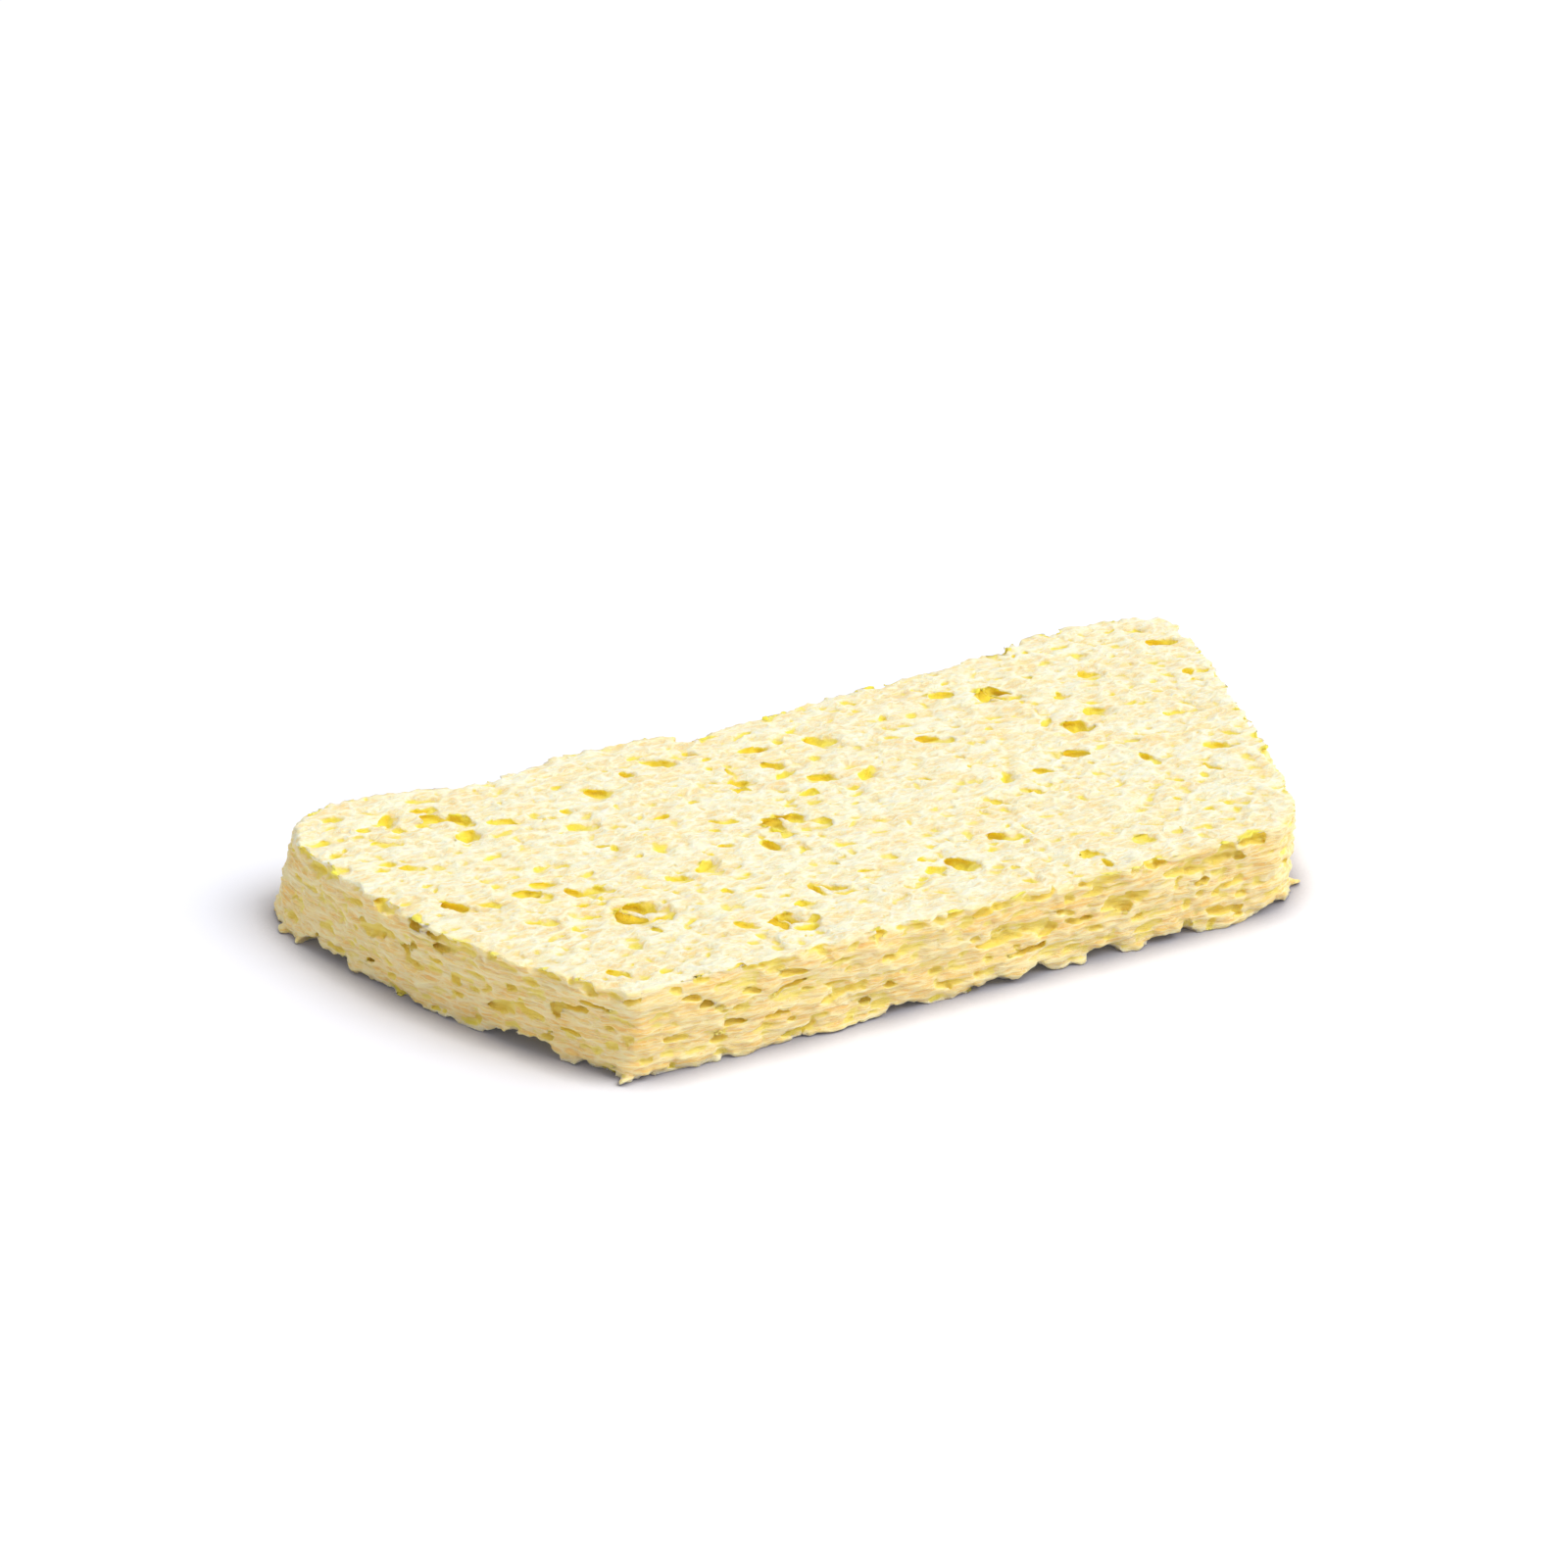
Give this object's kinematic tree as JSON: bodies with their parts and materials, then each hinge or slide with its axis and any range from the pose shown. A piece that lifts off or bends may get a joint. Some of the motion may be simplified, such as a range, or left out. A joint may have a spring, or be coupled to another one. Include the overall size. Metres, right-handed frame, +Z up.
{
  "type": "cleaning sponge",
  "caption": "Flat trapezoidal slab of dry yellow cellulose sponge with open pores and a layered, slit cut edge, for wiping a soldering tip clean.",
  "frame": {"origin": "middle of the underside, on the surface that the sponge lies on", "axes": "+X along the long back edge, to the right; +Y from the short front edge to the long back edge; +Z up through the thickness"},
  "size_m": [0.0986, 0.0482, 0.0085],
  "materials": {
    "cellulose": "matte dry cellulose sponge, pale yellow skin with deeper golden yellow inside the pores"
  },
  "bodies": {
    "root": {"sponge": "cellulose"}
  },
  "joints": []
}
